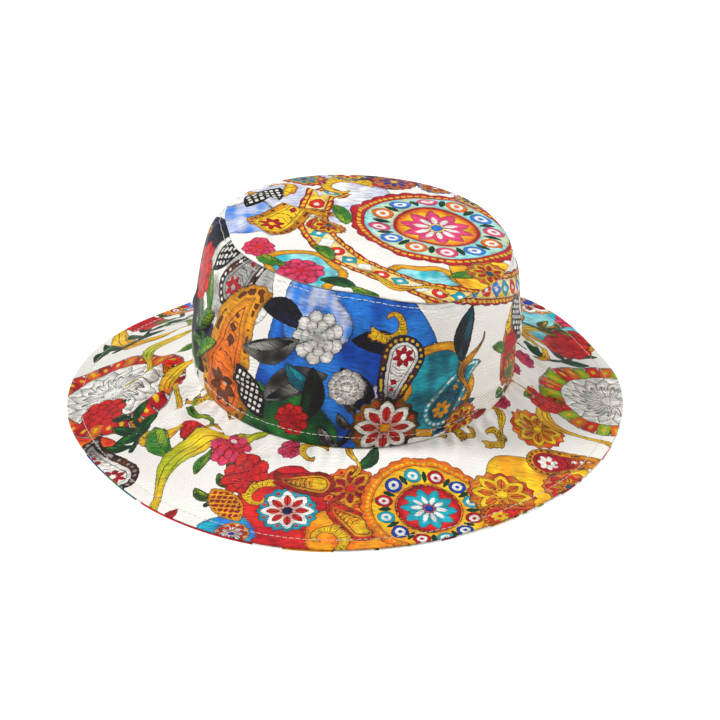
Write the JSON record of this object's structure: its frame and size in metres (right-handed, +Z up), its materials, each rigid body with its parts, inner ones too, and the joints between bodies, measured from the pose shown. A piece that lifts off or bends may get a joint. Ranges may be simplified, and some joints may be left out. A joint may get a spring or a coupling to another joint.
{
  "type": "wide-brim cloth hat",
  "caption": "Soft printed cotton sun hat with a flat oval crown, a straight side band and a wide two-cloth brim, resting on its rim; worn on the head.",
  "frame": {"origin": "on the table, under the middle of the hat's bounding box", "axes": "+X to the hat's right as the picture shows it, +Y to its back, +Z up through the crown"},
  "size_m": [0.3074, 0.3274, 0.114],
  "materials": {
    "tip_cotton": "printed cotton jacquard with a slight sheen, ivory ground",
    "side_cotton": "printed cotton jacquard with a slight sheen, blue and turquoise on ivory",
    "brim_cotton": "printed cotton jacquard with a slight sheen, ivory ground",
    "under_cotton": "printed cotton jacquard with a slight sheen, crimson"
  },
  "bodies": {
    "root": {"crown_tip": "tip_cotton", "crown_side": "side_cotton", "brim_top_cloth": "brim_cotton", "brim_under_cloth": "under_cotton"}
  },
  "joints": []
}
